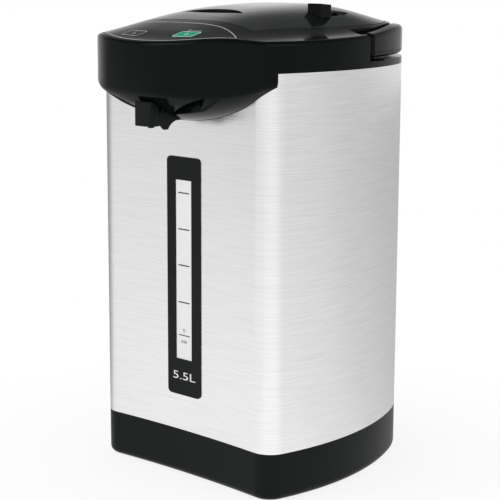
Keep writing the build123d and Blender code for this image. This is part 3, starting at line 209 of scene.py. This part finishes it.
inner_black = plastic("inner_black", grey(1.6, BLACK), 0.5)
inner_white = plastic("inner_white", grey(0.62), 0.4)
silicone = rubber("silicone", (0.62, 0.62, 0.58))
foot_rubber = rubber("foot_rubber", (0.02, 0.02, 0.02))
motor_metal = cast_metal("motor_metal", (0.55, 0.56, 0.57), 0.38)
pin_metal = cast_metal("pin_metal", (0.62, 0.62, 0.63), 0.26)
pin_brass = cast_metal("pin_brass", (0.72, 0.52, 0.24), 0.25)
window_white = milky_window("window_white")
board_green = circuit_board("board_green")
ink_white = print_ink("ink_white", grey(0.92))
ink_soft = print_ink("ink_soft", grey(0.62))
ink_dark = print_ink("ink_dark", grey(0.015))

FINISH = {
    "outer_shell": steel,
    "head_housing": head_black, "carry_handle": head_black,
    "lid_cover": lid_black, "lid_latch": knob_black, "lid_knob": knob_black,
    "control_panel": panel_black, "dispense_button": key_green, "unlock_button": key_black,
    "spout_cover": spout_black, "spout_body": spout_black, "cup_lever": spout_black,
    "gauge_panel": plate_black, "gauge_window": window_white, "gauge_tube": window_white,
    "base_housing": base_black, "bottom_cover": base_black,
    "power_inlet": inner_black, "tact_switches": inner_black, "board_parts": inner_black,
    "lever_switch": inner_black,
    "inner_tank": tank_steel, "tank_skirt": tank_steel, "lid_liner": tank_steel,
    "tie_rods": pin_metal, "hinge_pin": pin_metal, "handle_pins": pin_metal,
    "lever_pin": pin_metal, "motor_shaft": pin_metal, "base_screws": pin_metal,
    "head_screws": pin_metal, "lid_screws": pin_metal, "inlet_pins": pin_brass,
    "tank_collar": inner_white, "steam_valve": inner_white, "spout_pipe": inner_white,
    "pump_housing": inner_white, "pump_impeller": inner_white,
    "tank_seal": silicone, "lid_gasket": silicone, "inlet_hose": silicone,
    "outlet_hose": silicone, "rubber_feet": foot_rubber,
    "pump_motor": motor_metal, "heater": motor_metal, "thermostats": motor_metal,
    "button_board": board_green, "power_board": board_green,
}
for node_name, material in FINISH.items():
    mesh = NODES[node_name].data
    mesh.materials.clear()
    mesh.materials.append(material)


# ---------------------------------------------------------------- printed marks
INK_LIFT = 0.00008      # how far ink stands off its surface
RAY_BACK = 0.2          # how far back from a mark's points the rays set off
START_ABOVE = 0.5       # height of a mark on the head before it is laid down
START_BEFORE = -0.5     # the same for a mark on the front, along Y
LINE_W, KEY_LINE_W, KEY_LINE_INSET = 0.0007, 0.0006, 0.65


def surface_of(node_name):
    """Ray target made from a CAD node's mesh."""
    mesh = NODES[node_name].data
    return BVHTree.FromPolygons([v.co.copy() for v in mesh.vertices],
                                [tuple(p.vertices) for p in mesh.polygons])


def mesh_piece(name, points, faces, material, body):
    mesh = bpy.data.meshes.new(name)
    mesh.from_pydata([tuple(p) for p in points], [], faces)
    mesh.materials.append(material)
    piece = bpy.data.objects.new(name, mesh)
    bpy.context.scene.collection.objects.link(piece)
    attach(piece, body)
    return piece


def pressed(points, target, direction, lift):
    """Points thrown along a direction onto a surface, and lifted off it; a miss is an error."""
    landed = []
    for point in points:
        hit, _, _, _ = target.ray_cast(Vector(point) - Vector(direction) * RAY_BACK,
                                       Vector(direction))
        if hit is None:
            raise ValueError(f"a printed mark runs off its surface at {tuple(point)}")
        landed.append(hit - Vector(direction) * lift)
    return landed


def ink_line(name, path, width, node_name, material, body, closed=True,
             direction=(0, 0, -1), lift=INK_LIFT):
    """A thin printed line along a plan path, laid on a CAD surface."""
    target = surface_of(node_name)
    direction = Vector(direction)
    count = len(path)
    inner, outer = [], []
    for i, point in enumerate(path):
        before = path[(i - 1) % count] if closed or i else point
        after = path[(i + 1) % count] if closed or i < count - 1 else point
        along = (Vector(after) - Vector(before)).normalized()
        across = along.cross(direction).normalized() * (width / 2)
        inner.append(Vector(point) - across)
        outer.append(Vector(point) + across)
    points = pressed(inner + outer, target, direction, lift)
    steps = range(count if closed else count - 1)
    faces = [(i, (i + 1) % count, count + (i + 1) % count, count + i) for i in steps]
    return mesh_piece(name, points, faces, material, body)


def arc_points(cx, cy, radius, start, end, steps):
    """Plan points along an arc, angles in radians."""
    return [(cx + radius * math.cos(start + (end - start) * i / steps),
             cy + radius * math.sin(start + (end - start) * i / steps)) for i in range(steps + 1)]


def rounded_outline(corners, radius, steps=6):
    """A closed plan outline with every corner rounded."""
    out = []
    count = len(corners)
    for i in range(count):
        here = Vector(corners[i])
        to_last = (Vector(corners[i - 1]) - here).normalized()
        to_next = (Vector(corners[(i + 1) % count]) - here).normalized()
        half = to_last.angle(to_next) / 2
        set_back = radius / math.tan(half)
        centre = here + (to_last + to_next).normalized() * (radius / math.sin(half))
        a, b = here + to_last * set_back - centre, here + to_next * set_back - centre
        for k in range(steps + 1):
            t = k / steps
            leg = a.lerp(b, t)
            out.append(centre + leg.normalized() * radius)
    return out


def at_height(points):
    return [(x * MM, y * MM, START_ABOVE) for x, y in points]


def straight(a, b, steps):
    return [(a[0] + (b[0] - a[0]) * i / steps, a[1] + (b[1] - a[1]) * i / steps)
            for i in range(steps + 1)]


# Control panel: the same lens outline as its CAD sheet, a little inside its edge.
HEAD_FRONT_Y, HEAD_FRONT_R = -136.05, 133.0
PANEL_INSET, PANEL_REAR_Y = 3.5, -91.6
PANEL_FLAT_R, PANEL_FLAT_HALF, PANEL_END_R = 491.0, 42.0, 65.0
LINE_INSET = 0.7


def panel_outline(inset):
    front_cy = HEAD_FRONT_Y + HEAD_FRONT_R
    front_r = HEAD_FRONT_R - PANEL_INSET - inset
    flat_r, end_r = PANEL_FLAT_R - inset, PANEL_END_R - inset
    slope = math.asin(PANEL_FLAT_HALF / PANEL_FLAT_R)
    flat_cy = PANEL_REAR_Y - PANEL_FLAT_R
    knee_x = PANEL_FLAT_R * math.sin(slope)
    knee_y = flat_cy + PANEL_FLAT_R * math.cos(slope)
    end_cx = knee_x - PANEL_END_R * math.sin(slope)
    end_cy = knee_y - PANEL_END_R * math.cos(slope)
    dx, dy = -end_cx, front_cy - end_cy
    gap = math.hypot(dx, dy)
    along = (end_r ** 2 - front_r ** 2 + gap ** 2) / (2 * gap)
    off = math.sqrt(end_r ** 2 - along ** 2)
    tips = [(end_cx + dx * along / gap + side * off * dy / gap,
             end_cy + dy * along / gap - side * off * dx / gap) for side in (-1, 1)]
    tip = max(tips)
    turn = math.atan2(tip[1] - end_cy, tip[0] - end_cx)
    knee = math.pi / 2 - slope
    right = arc_points(end_cx, end_cy, end_r, knee, turn, 26)
    left = [(-x, y) for x, y in right]
    middle = arc_points(0, flat_cy, flat_r, math.pi / 2 + slope, knee, 30)
    front_angle = math.atan2(tip[1] - front_cy, tip[0])
    front = arc_points(0, front_cy, front_r, front_angle, -math.pi - front_angle, 70)
    return middle[:-1] + right[:-1] + front[:-1] + left[::-1][:-1]


ink_line("panel_outline", at_height(panel_outline(LINE_INSET)), LINE_W, "control_panel",
         ink_soft, "pot")

# Keys: an outline just inside the edge of each cap, and a mark in the middle.
BUTTON_W, BUTTON_D, BUTTON_LEAN, BUTTON_ROUND = 21.0, 10.6, 2.0, 2.4
DISPENSE_AT = (30.8, -115.6, 6.5)
UNLOCK_AT = (-25.5, -118.3, -4.0)


def key_frame(spot):
    x, y, turn = spot
    return lambda px, py: (
        x + px * math.cos(math.radians(turn)) - py * math.sin(math.radians(turn)),
        y + px * math.sin(math.radians(turn)) + py * math.cos(math.radians(turn)))


def key_outline(spot, inset):
    w, d = BUTTON_W / 2 - inset, BUTTON_D / 2 - inset
    lean = BUTTON_LEAN
    corners = [(-w - lean, -d), (w - lean, -d), (w + lean, d), (-w + lean, d)]
    place = key_frame(spot)
    return [place(*p) for p in rounded_outline(corners, BUTTON_ROUND - inset)]


for label, spot, body, ink in (("dispense", DISPENSE_AT, "dispense_key", ink_white),
                               ("unlock", UNLOCK_AT, "unlock_key", ink_soft)):
    ink_line(f"{label}_outline", at_height(key_outline(spot, KEY_LINE_INSET)), KEY_LINE_W,
             f"{label}_button", ink, body)
    place = key_frame(spot)
    ring = [place(1.5 * math.cos(a * math.pi / 9), 1.1 * math.sin(a * math.pi / 9) - 0.6)
            for a in range(18)]
    ink_line(f"{label}_ring", at_height(ring), 0.00045, f"{label}_button", ink, body)
    drop = [place(px, py) for px, py in straight((0.0, 0.9), (0.0, 2.2), 3)]
    ink_line(f"{label}_mark", at_height(drop), 0.0006, f"{label}_button", ink, body, closed=False)

# A small padlock and two short rules printed above the green key.
place = key_frame(DISPENSE_AT)
lock_corners = [(-4.6, 7.0), (-2.4, 7.0), (-2.4, 8.6), (-4.6, 8.6)]
lock_box = [place(*p) for p in rounded_outline(lock_corners, 0.2, 2)]
ink_line("padlock_body", at_height(lock_box), 0.0004, "control_panel", ink_soft, "pot")
lock_bow = [place(-3.5 + 0.7 * math.cos(a), 8.7 + 1.1 * math.sin(a))
            for a in [math.pi * k / 8 for k in range(9)]]
ink_line("padlock_bow", at_height(lock_bow), 0.0003, "control_panel", ink_soft, "pot", closed=False)
for i, (start, end) in enumerate((((-1.2, 7.8), (3.4, 7.8)), ((4.4, 7.8), (8.6, 7.8)))):
    rule = [place(*p) for p in straight(start, end, 5)]
    ink_line(f"panel_rule_{i}", at_height(rule), 0.00045, "control_panel", ink_soft, "pot",
             closed=False)


# Gauge: level marks, the least-fill mark and the volume.
TICKS = (241.2, 211.2, 181.2, 150.1)
TICK_HALF, TICK_W = 6.4, 1.0
MIN_LINE_Z, MIN_TEXT_Z, MIN_ARROW_Z = 122.2, 119.0, 126.2
VOLUME_Z, VOLUME_HEIGHT, VOLUME_WIDTH = 84.4, 6.6, 26.0
FRONT_WAY = (0, 1, 0)


def gauge_line(name, z, half, width, node_name, material):
    path = [((-half + 2 * half * i / 8) * MM, START_BEFORE, z * MM) for i in range(9)]
    return ink_line(name, path, width * MM, node_name, material, "pot", closed=False,
                    direction=FRONT_WAY)


def gauge_text(name, words, height, z, node_name, material, width=None):
    """Words set flat on the front, as a mesh laid on the plate."""
    curve = bpy.data.curves.new(name, "FONT")
    curve.body = words
    curve.align_x = "CENTER"
    curve.size = height * MM / 0.7
    curve.resolution_u = 4
    holder = bpy.data.objects.new(name + "_words", curve)
    mesh = bpy.data.meshes.new_from_object(holder)
    bpy.data.objects.remove(holder)
    spread = max(v.co.x for v in mesh.vertices) - min(v.co.x for v in mesh.vertices)
    stretch = (width * MM / spread) if width else 1.0
    points = [(v.co.x * stretch, START_BEFORE, z * MM + v.co.y) for v in mesh.vertices]
    faces = [tuple(p.vertices) for p in mesh.polygons]
    landed = pressed(points, surface_of(node_name), FRONT_WAY, INK_LIFT)
    return mesh_piece(name, landed, faces, material, "pot")


for i, z in enumerate(TICKS):
    gauge_line(f"level_mark_{i}", z, TICK_HALF, TICK_W, "gauge_window", ink_dark)
gauge_line("min_line", MIN_LINE_Z, TICK_HALF, 0.8, "gauge_window", ink_dark)
gauge_text("min_text", "min", 3.4, MIN_TEXT_Z - 3.4, "gauge_window", ink_dark)
arrow = [(-1.5, 1.2), (1.5, 1.2), (0.0, -1.4)]
arrow_path = [(x * MM, START_BEFORE, (MIN_ARROW_Z + z) * MM)
              for a, b in zip(arrow, arrow[1:] + arrow[:1]) for x, z in straight(a, b, 3)[:-1]]
ink_line("min_arrow", arrow_path, 0.0004, "gauge_window", ink_dark, "pot", direction=FRONT_WAY)
gauge_text("volume_text", "5.5L", VOLUME_HEIGHT, VOLUME_Z, "gauge_panel", ink_white,
           width=VOLUME_WIDTH)


# ------------------------------------------------------------------------- stage
def by_bearing(shader_node, link, vector, stops):
    """Grey level by compass bearing, from -X through -Y, +X and +Y in fractions of a turn."""
    gradient = shader_node("ShaderNodeTexGradient")
    gradient.gradient_type = "RADIAL"
    link(vector, gradient.inputs["Vector"])
    ramp = shader_node("ShaderNodeValToRGB")
    ramp.color_ramp.interpolation = "EASE"
    elements = ramp.color_ramp.elements
    for i, (place_at, value) in enumerate(stops):
        stop = elements[i] if i < 2 else elements.new(place_at)
        stop.position = place_at
        stop.color = (value, value, value, 1)
    link(gradient.outputs["Color"], ramp.inputs["Fac"])
    return ramp.outputs["Color"]


def times(shader_node, link, colour, factor):
    scaled = shader_node("ShaderNodeVectorMath")
    scaled.operation = "SCALE"
    link(colour, scaled.inputs[0])
    if hasattr(factor, "is_output"):
        link(factor, scaled.inputs["Scale"])
    else:
        scaled.inputs["Scale"].default_value = factor
    return scaled.outputs["Vector"]


def seen_rays(shader_node, link):
    """The camera-ray socket, and one for all rays that show the backdrop, gloss and glass too."""
    path = shader_node("ShaderNodeLightPath")
    value = path.outputs["Is Camera Ray"]
    for kind in ("Is Glossy Ray", "Is Transmission Ray"):
        either = shader_node("ShaderNodeMath")
        either.operation = "MAXIMUM"
        link(value, either.inputs[0])
        link(path.outputs[kind], either.inputs[1])
        value = either.outputs["Value"]
    return path.outputs["Is Camera Ray"], value


# How pale the floor looks from the pot, by bearing. White is 1, and none goes over it.
FLOOR_TONES = (
    (0.00, 0.34),   # left, -X
    (0.06, 0.55),
    (0.11, 0.85),   # front left
    (0.16, 0.91),
    (0.25, 0.92),   # front, -Y
    (0.33, 1.00),   # front right, towards the camera
    (0.42, 1.00),
    (0.50, 0.86),   # right, +X
    (0.58, 0.78),
    (0.66, 0.65),
    (0.74, 0.57),   # rear, +Y
    (0.88, 0.54),
    (0.96, 0.40),
    (1.00, 0.34),
)
FLOOR_FAR, FAR_FROM, FAR_TO = 0.88, 0.3, 2.0                # share left far off, and where
FLOOR_GLOW_NEAR, GLOW_FROM, GLOW_TO = 0.86, 0.12, 0.35      # share of it near the pot's foot
FLOOR_HALF = 4.0

def studio_floor():
    """White paper floor: it keeps the pot's shadow, and fades to the backdrop around."""
    shader = Shader("studio_floor")
    coordinates = shader.node("ShaderNodeTexCoord")
    length = shader.node("ShaderNodeVectorMath", operation="LENGTH")
    shader.link(coordinates.outputs["Object"], length.inputs[0])
    reach = length.outputs["Value"]
    camera_ray, seen = seen_rays(shader.node, shader.link)
    paper = shader.noise((700, 700, 700))
    shader.set(Base_Color=shader.mix(paper, grey(0.88), grey(0.9)), Roughness=0.8)
    tone = by_bearing(shader.node, shader.link, coordinates.outputs["Object"], FLOOR_TONES)
    left = shader.spread(reach, 1.0, FLOOR_FAR, FAR_FROM, FAR_TO)
    tone = times(shader.node, shader.link, tone, left)
    tone = shader.mix(camera_ray, tone, (1.0, 1.0, 1.0))
    glow = shader.node("ShaderNodeEmission")
    shader.link(tone, glow.inputs["Color"])
    shown = shader.node("ShaderNodeMixShader")
    near = shader.spread(reach, FLOOR_GLOW_NEAR, 1.0, GLOW_FROM, GLOW_TO)
    shader.link(near, shown.inputs["Fac"])
    shader.link(shader.principled.outputs["BSDF"], shown.inputs[1])
    shader.link(glow.outputs["Emission"], shown.inputs[2])
    choose = shader.node("ShaderNodeMixShader")
    shader.link(seen, choose.inputs["Fac"])
    shader.link(shader.principled.outputs["BSDF"], choose.inputs[1])
    shader.link(shown.outputs["Shader"], choose.inputs[2])
    shader.link(choose.outputs["Shader"], shader.tree.nodes["Material Output"].inputs["Surface"])
    mesh = bpy.data.meshes.new("floor")
    size = FLOOR_HALF
    mesh.from_pydata([(-size, -size, 0), (size, -size, 0), (size, size, 0), (-size, size, 0)], [],
                     [(0, 1, 2, 3)])
    mesh.materials.append(shader.material)
    floor = bpy.data.objects.new("floor", mesh)
    bpy.context.scene.collection.objects.link(floor)


studio_floor()

# How pale the backdrop above the floor is, by bearing; it darkens upwards.
BACKDROP_TONES = (
    (0.00, 0.20),   # left, -X
    (0.08, 0.40),
    (0.16, 0.70),   # front left
    (0.28, 0.85),
    (0.38, 0.90),   # front right
    (0.50, 0.70),   # right, +X
    (0.64, 0.60),
    (0.75, 0.80),   # rear, +Y
    (0.88, 1.00),   # behind the pot, as the camera looks
    (0.95, 0.60),
    (1.00, 0.20),
)
# Share of that tone left at each height of the ray, from -1 straight down to 1 straight up.
HORIZON_FADE = ((-0.01, 1.0), (0.12, 0.95), (0.32, 0.8), (0.5, 0.25), (1.0, 0.1))
PLAIN_LIGHT = 0.78      # even light on all that is not glossy


def studio_world():
    """Plain even light, and the backdrop that the camera and all glossy pieces see."""
    world = bpy.data.worlds.new("studio")
    world.use_nodes = True
    bpy.context.scene.world = world
    nodes, links = world.node_tree.nodes, world.node_tree.links
    coordinates = nodes.new("ShaderNodeTexCoord")
    tone = by_bearing(nodes.new, links.new, coordinates.outputs["Generated"], BACKDROP_TONES)
    split = nodes.new("ShaderNodeSeparateXYZ")
    links.new(coordinates.outputs["Generated"], split.inputs[0])
    shift = nodes.new("ShaderNodeMapRange")
    for key, number in (("From Min", -0.1), ("From Max", 1.0), ("To Min", 0.0), ("To Max", 1.0)):
        shift.inputs[key].default_value = number
    links.new(split.outputs["Z"], shift.inputs["Value"])
    fade = nodes.new("ShaderNodeValToRGB")
    elements = fade.color_ramp.elements
    for i, (height, value) in enumerate(HORIZON_FADE):
        place_at = (height + 0.1) / 1.1
        stop = elements[i] if i < 2 else elements.new(place_at)
        stop.position = place_at
        stop.color = (value, value, value, 1)
    links.new(shift.outputs["Result"], fade.inputs["Fac"])
    camera_ray, seen = seen_rays(nodes.new, links.new)
    tone = times(nodes.new, links.new, tone, fade.outputs["Color"])
    white = nodes.new("ShaderNodeMix")
    white.data_type = "RGBA"
    links.new(camera_ray, white.inputs["Factor"])
    links.new(tone, white.inputs[6])
    white.inputs[7].default_value = (1, 1, 1, 1)
    backdrop = nodes.new("ShaderNodeBackground")
    links.new(white.outputs[2], backdrop.inputs["Color"])
    plain = nodes["Background"]
    plain.inputs["Color"].default_value = (PLAIN_LIGHT, PLAIN_LIGHT, PLAIN_LIGHT, 1)
    choose = nodes.new("ShaderNodeMixShader")
    links.new(seen, choose.inputs["Fac"])
    links.new(plain.outputs["Background"], choose.inputs[1])
    links.new(backdrop.outputs["Background"], choose.inputs[2])
    links.new(choose.outputs["Shader"], nodes["World Output"].inputs["Surface"])


studio_world()


def softbox(name, place_at, aim, size, power):
    light = bpy.data.lights.new(name, "AREA")
    light.shape = "RECTANGLE"
    light.size, light.size_y = size
    light.energy = power
    lamp = bpy.data.objects.new(name, light)
    lamp.location = place_at
    lamp.rotation_euler = (Vector(aim) - Vector(place_at)).to_track_quat("-Z", "Y").to_euler()
    bpy.context.scene.collection.objects.link(lamp)


# Place and aim in metres, size in metres, power in watts.
softbox("key", (-0.9, -1.5, 1.5), (0, 0, 0.2), (1.2, 1.0), 9.0)
softbox("fill", (1.7, 0.3, 0.9), (0, 0, 0.2), (1.0, 1.0), 3.0)

# ------------------------------------------------------------------------ camera
CAMERA_AT = (0.86080, -0.931335, 0.421489)
CAMERA_RIGHT = (0.73006304, 0.68336813, 0.00399441)
CAMERA_UP = (-0.12962015, 0.13273346, 0.98263953)
CAMERA_BACK = (0.67097434, -0.71790656, 0.18548207)

camera_data = bpy.data.cameras.new("camera")
camera_data.lens = 107.81
camera_data.sensor_width = 36.0
camera_data.clip_start = 0.05
camera = bpy.data.objects.new("camera", camera_data)
axes = Matrix((CAMERA_RIGHT, CAMERA_UP, CAMERA_BACK)).transposed().to_4x4()
camera.matrix_world = Matrix.Translation(CAMERA_AT) @ axes
bpy.context.scene.collection.objects.link(camera)
bpy.context.scene.camera = camera
bpy.context.scene.view_settings.view_transform = "Standard"
